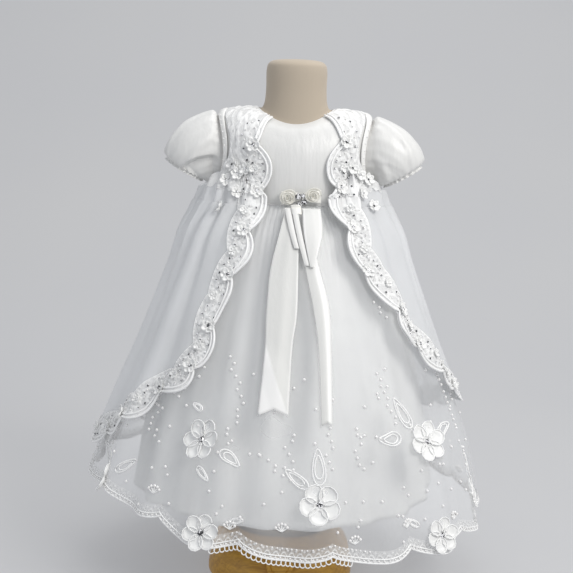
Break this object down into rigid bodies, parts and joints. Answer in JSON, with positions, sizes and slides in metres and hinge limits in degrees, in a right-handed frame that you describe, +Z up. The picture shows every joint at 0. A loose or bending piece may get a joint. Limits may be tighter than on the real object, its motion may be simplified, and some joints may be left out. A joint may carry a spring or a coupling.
{
  "type": "christening gown on a dress form",
  "caption": "Baby's white satin and organza christening gown with an open lace-edged coat, shown on a limbless dress form with a wooden base.",
  "frame": {"origin": "centre of the base's underside", "axes": "+Z up, -Y towards the gown's front, +X to the right as seen from the front"},
  "size_m": [0.5422, 0.5232, 0.705],
  "materials": {
    "satin": "satin",
    "organza": "satin",
    "lace": "matte",
    "jersey": "matte",
    "wood": "satin"
  },
  "bodies": {
    "root": {"bodice_front": "satin", "bodice_back_left": "satin", "bodice_back_right": "satin", "button_1": "satin", "button_2": "satin", "button_3": "satin", "sleeve_left": "satin", "sleeve_right": "satin", "lining_front": "satin", "lining_back": "satin", "armhole_binding_left": "satin", "armhole_binding_right": "satin", "bow_loop_left": "satin", "bow_loop_right": "satin", "tail_left": "satin", "tail_right": "satin", "hanging_loop_1": "satin", "hanging_loop_2": "satin", "hanging_loop_wide": "satin", "skirt_front": "organza", "skirt_back": "organza", "coat_left": "organza", "coat_right": "organza", "coat_back": "organza", "lace_left": "lace", "lace_right": "lace", "lace_back": "lace", "rose": "lace", "flower_01": "lace", "flower_02": "lace", "flower_03": "lace", "flower_04": "lace", "flower_05": "lace", "flower_06": "lace", "flower_07": "lace", "flower_08": "lace", "flower_09": "lace", "flower_10": "lace", "flower_11": "lace", "flower_12": "lace", "form": "jersey", "base": "wood", "base_boss": "wood"}
  },
  "joints": []
}
